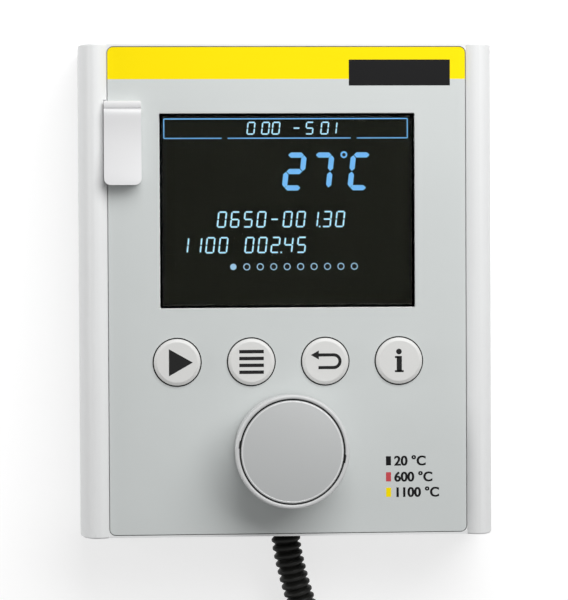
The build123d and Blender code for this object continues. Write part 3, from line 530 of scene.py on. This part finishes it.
def back_sign():
    """Arrow that runs right, turns round and comes back pointing left."""
    x, y, _ = key_place("back")
    width = 1.05 * MM
    upper, lower = y + 2.15 * MM, y - 2.1 * MM
    bend_x = x + 2.75 * MM
    radius = (upper - lower) / 2
    bm = bmesh.new()
    add_bar(bm, x - 2.3 * MM, upper, bend_x, upper, width, KEY_TOP)
    add_bar(bm, x - 2.4 * MM, lower, bend_x, lower, width, KEY_TOP)
    add_ring(bm, bend_x, (upper + lower) / 2, radius + width / 2, radius - width / 2, KEY_TOP, start=-pi / 2,
             sweep=pi, steps=16)
    add_triangle(bm, x - 3.15 * MM, upper, 2.7 * MM, 3.0 * MM, KEY_TOP, pi)
    finish_sign("back", bm)


def info_sign():
    """Small letter i with feet."""
    x, y, _ = key_place("info")
    bm = bmesh.new()
    add_disc(bm, x - 0.1 * MM, y + 3.1 * MM, 0.95 * MM, KEY_TOP)
    add_bar(bm, x, y + 1.6 * MM, x, y - 3.8 * MM, 1.75 * MM, KEY_TOP)
    add_bar(bm, x - 1.45 * MM, y + 1.25 * MM, x, y + 1.25 * MM, 0.7 * MM, KEY_TOP)
    add_bar(bm, x - 1.5 * MM, y - 3.5 * MM, x + 1.5 * MM, y - 3.5 * MM, 0.65 * MM, KEY_TOP)
    finish_sign("info", bm)


KEY_HOLE_RADIUS = 8.25 * MM
KEY_CAP_RADIUS = 7.8 * MM
SURROUND_PLAY = 0.03 * MM
SURROUND_DEPTH = 1.0 * MM  # from the face to the ring's underside
SURROUND_HEIGHT = 0.7 * MM


def key_surrounds():
    """Dark rings that show in the gap round each key: painted shade for the deep, narrow gap."""
    for name in KEY_NAMES:
        x, y, _ = key_place(name)
        bm = bmesh.new()
        add_ring(bm, x, y, KEY_HOLE_RADIUS - SURROUND_PLAY, KEY_CAP_RADIUS + SURROUND_PLAY,
                 FACE_Z - SURROUND_DEPTH, thickness=SURROUND_HEIGHT, steps=64)
        clean(bm)
        smooth(finish_piece(f"{name}_surround", bm, KEY_GAP_SHADE, "housing"))


# ---- The edge of the knob's cap, and the joint round it ----
CAP_RADIUS = 17.05 * MM
CAP_DOME = 1.2 * MM
RECESS_RADIUS = 17.55 * MM
JOINT_PLAY = 0.02 * MM
JOINT_DEPTH = 0.9 * MM  # from the knob's rim to the ring's underside
JOINT_HEIGHT = 0.3 * MM
# The bead, whose pale colour is a painted highlight, from its inside to the cap's skirt, in mm: radius, and
# height over the knob's rim.
CAP_EDGE = (
    (16.3, 0.03), (16.42, 0.11), (16.56, 0.13), (16.72, 0.07), (16.87, -0.05), (16.98, -0.2), (17.04, -0.42),
    (16.3, -0.42),
)


def knob_joint():
    """Dark ring down in the gap between the knob and its cap: painted shade for the narrow gap."""
    x, y, _ = middle("knob_body")
    bm = bmesh.new()
    add_ring(bm, x, y, RECESS_RADIUS - JOINT_PLAY, CAP_RADIUS + JOINT_PLAY, top_of("knob_body") - JOINT_DEPTH,
             thickness=JOINT_HEIGHT, steps=96)
    clean(bm)
    smooth(finish_piece("knob_joint", bm, CAP_GAP_SHADE, "knob"))


def knob_cap_edge():
    """Rounded bead that runs round the edge of the cap, paler than the cap as a painted highlight."""
    x, y, _ = middle("knob_cap")
    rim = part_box("knob_cap")[1][2] - CAP_DOME
    bm = bmesh.new()
    (first_radius, first_rise), *others = CAP_EDGE
    first = bm.verts.new((x + first_radius * MM, y, rim + first_rise * MM))
    last = first
    for radius, rise in others:
        last = bmesh.ops.extrude_vert_indiv(bm, verts=[last])["verts"][0]
        last.co = (x + radius * MM, y, rim + rise * MM)
    bm.edges.new((last, first))
    spin_round(bm, x, y, 128)
    clean(bm)
    smooth(finish_piece("knob_cap_edge", bm, CAP_EDGE_HIGHLIGHT, "knob"))


# ---- Display ----
FIGURE_Z = LCD_TOP + 0.01 * MM  # just clear of the glass
LEAN = tan(radians(6.5))
STROKE_GAP = 0.04 * MM
STROKE_GAP_SHARE = 0.045  # of the stroke's width
BORDER_SIDE = 1.15 * MM
BORDER_END = 0.95 * MM
SEGMENTS = {
    "0": "abcdef", "1": "bc", "2": "abdeg", "3": "abcdg", "4": "bcfg", "5": "acdfg", "6": "acdefg",
    "-": "g", "7": "abc", "C": "adef",
}
# Sizes of a figure: width, height and stroke.
LARGE = (5.5 * MM, 11.0 * MM, 1.75 * MM)
SMALL = (2.55 * MM, 5.0 * MM, 0.52 * MM)
HEADING = (2.3 * MM, 3.9 * MM, 0.46 * MM)
HEADING_FIGURES = (("0", -13.4), ("0", -8.5), ("0", -5.0), ("-", 1.9), ("5", 6.3), ("0", 11.4), ("1", 14.2))
HEADING_Y = 52.5 * MM


def window_border():
    """Black edge printed on the underside of the window."""
    low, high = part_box("display_lens")
    z = low[2] - 2 * FILM
    bm = bmesh.new()
    for x in (low[0] + BORDER_SIDE / 2, high[0] - BORDER_SIDE / 2):
        add_bar(bm, x, low[1], x, high[1], BORDER_SIDE, z)
    for y in (low[1] + BORDER_END / 2, high[1] - BORDER_END / 2):
        add_bar(bm, low[0] + BORDER_SIDE, y, high[0] - BORDER_SIDE, y, BORDER_END, z)
    finish_piece("window_border", bm, BORDER, "housing")


def add_stroke(bm, x0, y0, x1, y1, width):
    """A flat stroke with a point at each end, and a little gap to the next."""
    start = Vector((x0, y0, FIGURE_Z))
    end = Vector((x1, y1, FIGURE_Z))
    along = (end - start).normalized()
    gap = along * (STROKE_GAP + width * STROKE_GAP_SHARE)
    start += gap
    end -= gap
    side = Vector((-along.y, along.x, 0)) * width / 2
    point = along * width / 2
    corners = (start, start + point - side, end - point - side, end, end - point + side, start + point + side)
    face = bm.faces.new([bm.verts.new(corner) for corner in corners])
    lifted = bmesh.ops.extrude_face_region(bm, geom=[face])["geom"]
    bmesh.ops.translate(bm, verts=added_verts(lifted), vec=(0, 0, FILM))


def add_figure(bm, figure, x, y, size):
    """One leaning figure of seven strokes. x and y are its lower left corner."""
    width, height, stroke = size
    half = height / 2
    strokes = {
        "a": (0, height, width, height), "g": (0, half, width, half), "d": (0, 0, width, 0),
        "f": (0, half, 0, height), "b": (width, half, width, height),
        "e": (0, 0, 0, half), "c": (width, 0, width, half),
    }
    for letter in SEGMENTS.get(figure, ""):
        x0, y0, x1, y1 = strokes[letter]
        add_stroke(bm, x + x0 + y0 * LEAN, y + y0, x + x1 + y1 * LEAN, y + y1, stroke)


def add_figures(bm, figures, x, y, pitch, size):
    """A line of figures. A point takes no place of its own."""
    width, _, stroke = size
    place = 0
    for figure in figures:
        if figure == ".":
            point_x = x + place * pitch - (pitch - width) / 2
            add_bar(bm, point_x - stroke / 2, y, point_x + stroke / 2, y, stroke, FIGURE_Z)
        else:
            add_figure(bm, figure, x + place * pitch, y, size)
            place += 1


def display_frame(bm):
    """The thin box along the display's top edge, its lower line broken twice."""
    left, right, top, bottom = -41.25 * MM, 40.65 * MM, 57.6 * MM, 51.1 * MM
    line = 0.36 * MM
    breaks = ((-21.9 * MM, -19.9 * MM), (21.5 * MM, 23.6 * MM))
    add_bar(bm, left, top, right, top, line, FIGURE_Z)
    add_bar(bm, left, top, left, bottom, line, FIGURE_Z)
    add_bar(bm, right, top, right, bottom, line, FIGURE_Z)
    start = left
    for gap_start, gap_end in (*breaks, (right, right)):
        add_bar(bm, start, bottom, gap_start, bottom, line, FIGURE_Z)
        start = gap_end


def display_marks():
    """The temperature in large figures, and the frame above it."""
    line_y = 34.4 * MM
    bm = bmesh.new()
    display_frame(bm)
    add_figures(bm, "27", -0.9 * MM, line_y, 9.3 * MM, LARGE)
    add_figure(bm, "C", 21.2 * MM, line_y, LARGE)
    add_ring(bm, 19.2 * MM, 45.5 * MM, 1.15 * MM, 0.6 * MM, FIGURE_Z, steps=24)
    clean(bm)
    finish_piece("display_marks", bm, GLOW, "housing")


def display_lines():
    """The three lines of small figures: numbers only."""
    bm = bmesh.new()
    for figure, x in HEADING_FIGURES:
        add_figure(bm, figure, x * MM, HEADING_Y, HEADING)
    add_figures(bm, "0650-001.30", -23.5 * MM, 21.4 * MM, 4.42 * MM, SMALL)
    add_figures(bm, "1100 002.45", -36.2 * MM, 12.8 * MM, 4.38 * MM, SMALL)
    clean(bm)
    finish_piece("display_lines", bm, PALE_GLOW, "housing")


def display_dots():
    """Ten small rings, the first one filled."""
    first_x, y, pitch = -18.2 * MM, 8.0 * MM, 4.53 * MM
    bm = bmesh.new()
    add_disc(bm, first_x, y, 1.05 * MM, FIGURE_Z)
    for place in range(1, 10):
        add_ring(bm, first_x + place * pitch, y, 1.18 * MM, 0.86 * MM, FIGURE_Z, steps=24)
    clean(bm)
    finish_piece("display_dots", bm, DOT_GLOW, "housing")


# ---- Port cover ----
FLAP_OUT = 0.25 * MM  # how far the cover reaches into the gap beside the rail
BARREL_RADIUS = 1.1 * MM
BARREL_START = radians(20)  # how far before its lowest line the barrel's outline starts
BARREL_SWEEP = radians(175)
GROOVE_RADIUS = 1.17 * MM
GROOVE_START = radians(-20)
GROOVE_SWEEP = radians(-68)
STRIP_RISE = 0.25 * MM  # of the strip's top over the hinge's axis
STRIP_EDGE = 0.5 * MM
FLAP_NEAR = 1.15 * MM  # from the axis to where the underside starts
FLAP_EDGE = 0.6 * MM
FLAP_CORNER = 2.2 * MM
# The strip's front slope, in mm: how far behind the groove, and how far under the strip's top.
STRIP_SLOPE = ((1.0, 0.0), (0.5, 0.1), (0.12, 0.38))
# The flap's top, from the barrel to the free end, in mm: how far along from the axis, and height over it.
FLAP_TOP = (
    (0.0, 1.15), (0.4, 1.2), (0.9, 1.22), (1.5, 1.19), (2.4, 1.11), (3.6, 1.0), (5.0, 0.91), (6.6, 0.86),
    (8.4, 0.88), (10.5, 0.98), (13.0, 1.19), (16.0, 1.53), (19.5, 2.03), (24.35, 2.82),
)
# The flap's underside, from its rim to the middle of the sealing pad, in mm: width and rise of each step.
PAD_STEPS = ((1.1, 0.0), (0.1, -1.6), (1.4, 0.0), (0.15, 1.3))


def hinge_axis():
    """Where the cover's pin runs, as y and z."""
    place = middle("usb_hinge_pin")
    return place.y, place.z


def add_line(bm, vert, y, z):
    """Draws a straight line on from a point."""
    made = bmesh.ops.extrude_vert_indiv(bm, verts=[vert])["verts"][0]
    made.co.y, made.co.z = y, z
    return made


def add_arc(bm, vert, y, z, sweep, steps):
    """Draws an arc on from a point, about an axis along X."""
    made = bmesh.ops.spin(bm, geom=[vert], cent=(0, y, z), axis=(1, 0, 0), angle=sweep, steps=steps)
    return made["geom_last"][0]


def widen(bm, first, last, left, right):
    """Closes an outline, fills it and draws it out from left to right."""
    bm.edges.new((last, first))
    face = bmesh.ops.contextual_create(bm, geom=bm.edges[:])["faces"][0]
    bmesh.ops.translate(bm, verts=bm.verts, vec=(left, 0, 0))
    lifted = bmesh.ops.extrude_face_region(bm, geom=[face])["geom"]
    bmesh.ops.translate(bm, verts=added_verts(lifted), vec=(right - left, 0, 0))
    bmesh.ops.recalc_face_normals(bm, faces=bm.faces)


def round_edges(bm, edges, radius, segments):
    bmesh.ops.bevel(bm, geom=edges, offset=radius, offset_type="OFFSET", segments=segments, profile=0.5,
                    affect="EDGES", clamp_overlap=True, material=-1)


def is_sharp(edge, angle=50.0):
    return len(edge.link_faces) == 2 and edge.calc_face_angle() > radians(angle)


def port_cover_strip():
    """Strip behind the flap, with a groove that the flap's barrel turns in."""
    low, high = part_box("usb_cover_base")
    y, z = hinge_axis()
    front = y + GROOVE_RADIUS
    top = z + STRIP_RISE
    bm = bmesh.new()
    first = bm.verts.new((0, y + GROOVE_RADIUS * cos(GROOVE_START), z + GROOVE_RADIUS * sin(GROOVE_START)))
    last = add_arc(bm, first, y, z, GROOVE_SWEEP, 10)
    last = add_line(bm, last, last.co.y, FACE_Z)
    last = add_line(bm, last, high[1], FACE_Z)
    last = add_line(bm, last, high[1], top)
    for behind, drop in STRIP_SLOPE:
        last = add_line(bm, last, front + behind * MM, top - drop * MM)
    widen(bm, first, last, low[0] - FLAP_OUT, high[0])
    back = [edge for edge in bm.edges
            if is_sharp(edge) and all(vert.co.y > high[1] - FILM for vert in edge.verts)
            and any(vert.co.z > top - FILM for vert in edge.verts)]
    round_edges(bm, back, STRIP_EDGE, 4)
    clean(bm)
    piece = finish_piece("port_cover_strip", bm, COVER, "housing")
    smooth(piece)
    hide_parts("usb_cover_base")


def port_cover_flap():
    """Flap with a barrel along its near end, soft edges, and a hollow underside round a sealing pad."""
    low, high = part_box("usb_cover")
    y, z = hinge_axis()
    bm = bmesh.new()
    first = bm.verts.new((0, y - BARREL_RADIUS * sin(BARREL_START), z - BARREL_RADIUS * cos(BARREL_START)))
    last = add_arc(bm, first, y, z, BARREL_SWEEP, 18)
    for along, rise in FLAP_TOP:
        last = add_line(bm, last, y - along * MM, z + rise * MM)
    last = add_line(bm, last, low[1], low[2])
    last = add_line(bm, last, y - FLAP_NEAR, low[2])
    widen(bm, first, last, low[0] - FLAP_OUT, high[0])
    corners = [edge for edge in bm.edges
               if is_sharp(edge) and all(vert.co.y < low[1] + FILM for vert in edge.verts)
               and abs(edge.verts[0].co.z - edge.verts[1].co.z) > MM]
    round_edges(bm, corners, FLAP_CORNER, 7)
    rim = [edge for edge in bm.edges if is_sharp(edge) and all(vert.co.z > z for vert in edge.verts)]
    round_edges(bm, rim, FLAP_EDGE, 4)
    facing_down = [face for face in bm.faces if face.normal.z < -0.9]
    underside = max(facing_down, key=bmesh.types.BMFace.calc_area)
    for width, rise in PAD_STEPS:
        bmesh.ops.inset_region(bm, faces=[underside], thickness=width * MM, depth=rise * MM)
    clean(bm)
    piece = finish_piece("port_cover_flap", bm, COVER, "usb_cover")
    smooth(piece)
    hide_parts("usb_cover")


# ---- Conduit ----
CONDUIT_RADIUS = 5.0 * MM  # at a ridge's crest
CONDUIT_ROOT = 3.85 * MM  # in the valley between two ridges
CONDUIT_SIDES = 28
RIDGE_PITCH = 2.7 * MM
RIDGE_SHAPE = (0.0, 0.42, 0.93, 1.0, 0.93, 0.42)  # how far each ring of a ridge stands out, valley to crest
RIDGE_STEPS = len(RIDGE_SHAPE)
# The route, in mm.
START_Y = -71.0
LAYERS = (5.0, 15.3, 25.6)  # heights of the coil's turns
COIL_MIDDLE = (-29.0, -172.0)
COIL_RADIUS = 52.0
COIL_TURNS = 2.25
COIL_STEPS = 16  # points in a turn
COIL_LEVEL = 2 / 3  # share of each turn that stays level
SLEEVE_RADIUS = 7.5
LEAD_IN = (
    (0.0, START_Y, 13.0), (0.0, -84.0, 13.0), (2.6, -97.0, 12.0), (7.2, -112.0, 9.8), (13.4, -128.0, 7.4),
    (19.0, -144.0, 5.6), (22.4, -160.0, LAYERS[0]),
)
TAIL = (  # x and y are from the coil's middle
    (-15.0, -53.2, LAYERS[2] + 0.2), (-30.0, -50.9, LAYERS[2] - 0.3), (-43.8, -45.1, LAYERS[2] - 2.6),
    (-55.7, -36.0, 18.8), (-64.9, -24.2, 13.8), (-71.2, -10.6, 9.8), (-74.6, 3.6, SLEEVE_RADIUS),
    (-75.6, 17.4, SLEEVE_RADIUS),
)


def coil_height(turn):
    """Height of the coil's line: level for two thirds of each turn, then up by a layer."""
    layer = min(int(turn), len(LAYERS) - 1)
    climb = max(0.0, (turn - layer - COIL_LEVEL) / (1 - COIL_LEVEL))
    ease = climb * climb * (3 - 2 * climb)
    return LAYERS[layer] + (LAYERS[1] - LAYERS[0]) * ease


def from_coil(x, y, z):
    return (COIL_MIDDLE[0] + x, COIL_MIDDLE[1] + y, z)


def coil_points():
    """The turns, clockwise from the coil's right-hand side."""
    radius = COIL_RADIUS / cos(pi / COIL_STEPS)  # a little more, because the spline cuts inside its points
    points = []
    for step in range(1, round(COIL_TURNS * COIL_STEPS)):
        turn = step / COIL_STEPS
        angle = -2 * pi * turn
        points.append(from_coil(radius * cos(angle), radius * sin(angle), coil_height(turn)))
    return points


def conduit_route():
    tail = [from_coil(*point) for point in TAIL]
    return [Vector(point) * MM for point in (*LEAD_IN, *coil_points(), *tail)]


def spline_line(points):
    """The places along a NURBS spline through control points, evenly fine."""
    curve = bpy.data.curves.new("conduit line", "CURVE")
    curve.dimensions = "3D"
    spline = curve.splines.new("NURBS")
    spline.points.add(len(points) - 1)
    for point, place in zip(spline.points, points):
        point.co = (*place, 1.0)
    spline.order_u = 3
    spline.use_endpoint_u = True
    spline.resolution_u = 24
    return [vert.co.copy() for vert in curve_mesh("conduit line", curve).vertices]


def even_places(line, spacing):
    """Points and headings at a fixed spacing along a line."""
    places = []
    left = 0.0
    total = 0.0
    for start, end in zip(line, line[1:]):
        run = end - start
        length = run.length
        if length < SAME_PLACE:
            continue
        while left <= length:
            places.append((start + run * (left / length), run / length))
            left += spacing
        left -= length
        total += length
    return places, total


def heading_frames(places):
    """A place and a turn at each point, with no twist from one to the next."""
    frames = []
    heading = places[0][1]
    side = Vector((1, 0, 0))
    for point, new_heading in places:
        side = heading.rotation_difference(new_heading) @ side
        side = (side - new_heading * side.dot(new_heading)).normalized()
        heading = new_heading
        turn = Matrix((side, heading.cross(side), heading)).transposed().to_4x4()
        frames.append(Matrix.Translation(point) @ turn)
    return frames


def straight_corrugated(ring_count):
    """A corrugated tube along Z whose rings lie one unit apart, in metres across."""
    bm = bmesh.new()
    last = bm.verts.new((CONDUIT_ROOT, 0, 0))
    for ring in range(1, ring_count):
        last = bmesh.ops.extrude_vert_indiv(bm, verts=[last])["verts"][0]
        radius = CONDUIT_ROOT + (CONDUIT_RADIUS - CONDUIT_ROOT) * RIDGE_SHAPE[ring % RIDGE_STEPS]
        last.co = (radius, 0, ring)
    spin_round(bm, 0, 0, CONDUIT_SIDES)
    for end in (0, ring_count - 1):
        rim = [edge for edge in bm.edges if all(round(vert.co.z) == end for vert in edge.verts)]
        bmesh.ops.contextual_create(bm, geom=rim)
    return bm


def corrugated_conduit():
    """The conduit, made straight and then laid along its whole route."""
    line = spline_line(conduit_route())
    places, total = even_places(line, RIDGE_PITCH / RIDGE_STEPS)
    frames = heading_frames(places)
    bm = straight_corrugated(len(frames))
    for vert in bm.verts:
        across = Vector((vert.co.x, vert.co.y, 0))
        vert.co = frames[round(vert.co.z)] @ across
    bmesh.ops.recalc_face_normals(bm, faces=bm.faces)
    piece = finish_piece("conduit_corrugated", bm, CONDUIT, "housing")
    smooth(piece, 60.0)
    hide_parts("conduit", "conduit_coil", "conduit_tail")


# ---- Stage, light and camera ----
def seen_directly(tree):
    """1 for rays from the camera, and for those that a gloss or a clear window sends on."""
    path = tree.nodes.new("ShaderNodeLightPath")
    shine = math_node(tree, "MAXIMUM", path.outputs["Is Glossy Ray"], path.outputs["Is Transmission Ray"])
    return math_node(tree, "MAXIMUM", path.outputs["Is Camera Ray"], shine)


FLOOR_HALF = 3.0
FLOOR_SEEN = (0.42, 0.42, 0.42, 1.0)  # with the glow, it looks white and takes a soft shadow
FLOOR_GLOW = 0.7
FLOOR_UNSEEN = (0.85, 0.85, 0.85, 1.0)  # what lights the object from below


def make_floor():
    """A pale floor that looks white and keeps a soft shadow."""
    bm = bmesh.new()
    bmesh.ops.create_grid(bm, x_segments=1, y_segments=1, size=FLOOR_HALF)
    mesh = bpy.data.meshes.new("floor")
    bm.to_mesh(mesh)
    bm.free()
    floor = bpy.data.objects.new("floor", mesh)
    bpy.context.scene.collection.objects.link(floor)
    material, tree, shader = new_material("pale floor")
    seen = seen_directly(tree)
    tree.links.new(mix_colour(tree, seen, FLOOR_UNSEEN, FLOOR_SEEN), shader.inputs["Base Color"])
    tree.links.new(math_node(tree, "MULTIPLY", seen, FLOOR_GLOW), shader.inputs["Emission Strength"])
    shader.inputs["Emission Color"].default_value = (1.0, 1.0, 1.0, 1.0)
    shader.inputs["Roughness"].default_value = 0.9
    shader.inputs["Specular IOR Level"].default_value = 0.0
    mesh.materials.append(material)


def add_lamp(name, place, target, size, power):
    """A rectangular lamp that points at a target."""
    light = bpy.data.lights.new(name, "AREA")
    light.shape = "RECTANGLE"
    light.size, light.size_y = size
    light.energy = power
    lamp = bpy.data.objects.new(name, light)
    lamp.location = place
    lamp.rotation_euler = (Vector(target) - Vector(place)).to_track_quat("-Z", "Y").to_euler()
    bpy.context.scene.collection.objects.link(lamp)


SKY_STRENGTH = 0.25
KEY_POWER = 4.8
SIDE_POWER = 2.3


def make_light():
    """A soft light from above and a little to the right, a low one from the left, and a plain sky."""
    world = bpy.data.worlds.new("studio")
    bpy.context.scene.world = world
    world.use_nodes = True
    tree = world.node_tree
    sky = tree.nodes["Background"]
    sky.inputs["Color"].default_value = (1.0, 1.0, 1.0, 1.0)
    rise = math_node(tree, "MULTIPLY", seen_directly(tree), 1.0 - SKY_STRENGTH)
    tree.links.new(math_node(tree, "ADD", rise, SKY_STRENGTH), sky.inputs["Strength"])
    add_lamp("key light", (0.2, 0.4, 0.5), (0.0, 0.0, 0.0), (0.7, 0.5), KEY_POWER)
    add_lamp("side light", (-0.9, 0.12, 0.13), (-0.05, 0.0, 0.03), (0.3, 0.25), SIDE_POWER)


VIEW_MIDDLE = Vector((-1.34, -3.17, 36.0)) * MM
VIEW_DISTANCE = 1.0
VIEW_YAW = radians(4.2)
VIEW_PITCH = radians(1.45)
VIEW_ROLL = radians(0.28)
SCALE_PX_PER_M = 2982.5  # at the middle of the view
FRAME_HEIGHT_PX = 600
SENSOR = 36.0


def make_camera():
    """A camera that looks down on the face, a little from one side."""
    data = bpy.data.cameras.new("camera")
    data.sensor_width = SENSOR
    data.lens = SCALE_PX_PER_M * VIEW_DISTANCE * SENSOR / FRAME_HEIGHT_PX
    camera = bpy.data.objects.new("camera", data)
    tilt = Matrix.Rotation(VIEW_PITCH, 3, "X") @ Matrix.Rotation(VIEW_YAW, 3, "Y")
    turn = (Matrix.Rotation(VIEW_ROLL, 3, "Z") @ tilt).transposed()
    back = turn @ Vector((0, 0, VIEW_DISTANCE))
    camera.matrix_world = Matrix.Translation(VIEW_MIDDLE + back) @ turn.to_4x4()
    bpy.context.scene.collection.objects.link(camera)
    bpy.context.scene.camera = camera


dress_nodes()
corrugated_conduit()
printed_block()
heat_marks()
knob_joint()
knob_cap_edge()
port_cover_strip()
port_cover_flap()
start_sign()
menu_sign()
back_sign()
info_sign()
key_surrounds()
window_border()
display_marks()
display_lines()
display_dots()
make_floor()
make_light()
make_camera()
bpy.context.scene.view_settings.view_transform = "Standard"
